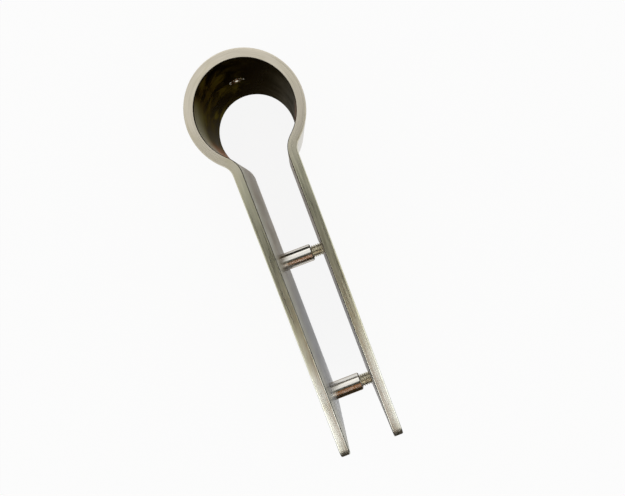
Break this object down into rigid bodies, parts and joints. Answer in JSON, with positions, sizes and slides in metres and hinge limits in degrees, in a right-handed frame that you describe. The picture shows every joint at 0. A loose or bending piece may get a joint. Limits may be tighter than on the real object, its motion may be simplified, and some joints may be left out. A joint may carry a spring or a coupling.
{
  "type": "glass panel clamp",
  "caption": "Bent flat-bar clamp: a ring wraps a round tube and two straight legs hold a glass panel between them with barrel nuts and countersunk screws.",
  "frame": {"origin": "on the axis of the tube that the ring wraps, at the middle of the strap's width", "axes": "+Z along the tube, -Y along the legs to their ends, +X from the leg of the barrel nuts to the leg of the screws"},
  "size_m": [0.048, 0.1756, 0.06],
  "materials": {
    "strap_steel": "satin brushed along the bar",
    "nut_steel": "polished stainless steel",
    "screw_steel": "plain stainless steel",
    "set_screw_steel": "dark plain stainless steel"
  },
  "bodies": {
    "strap": {"strap": "strap_steel"},
    "upper_nut": {"barrel_nut_upper": "nut_steel"},
    "lower_nut": {"barrel_nut_lower": "nut_steel"},
    "upper_screw": {"clamp_screw_upper": "screw_steel"},
    "lower_screw": {"clamp_screw_lower": "screw_steel"},
    "crown_screw": {"set_screw": "set_screw_steel"}
  },
  "joints": [
    {"name": "upper_screw_out", "type": "slide", "parent": "strap", "child": "upper_screw", "axis": [1, 0, 0], "range_m": [0, 0.007]},
    {"name": "upper_nut_turn", "type": "hinge", "parent": "strap", "child": "upper_nut", "pos_m": [-0.01175, -0.0655, 0], "axis": [-1, 0, 0], "range_deg": [0, 2520]},
    {"name": "lower_screw_out", "type": "slide", "parent": "strap", "child": "lower_screw", "axis": [1, 0, 0], "range_m": [0, 0.007]},
    {"name": "lower_nut_turn", "type": "hinge", "parent": "strap", "child": "lower_nut", "pos_m": [-0.01175, -0.1315, 0], "axis": [-1, 0, 0], "range_deg": [0, 2520]},
    {"name": "set_screw_feed", "type": "slide", "parent": "strap", "child": "crown_screw", "axis": [0, 1, 0], "range_m": [-0.004, 0.001]}
  ],
  "couplings": [
    {"joint": "upper_nut_turn", "follows": "upper_screw_out", "rad_per_m": 6283.2},
    {"joint": "lower_nut_turn", "follows": "lower_screw_out", "rad_per_m": 6283.2}
  ]
}
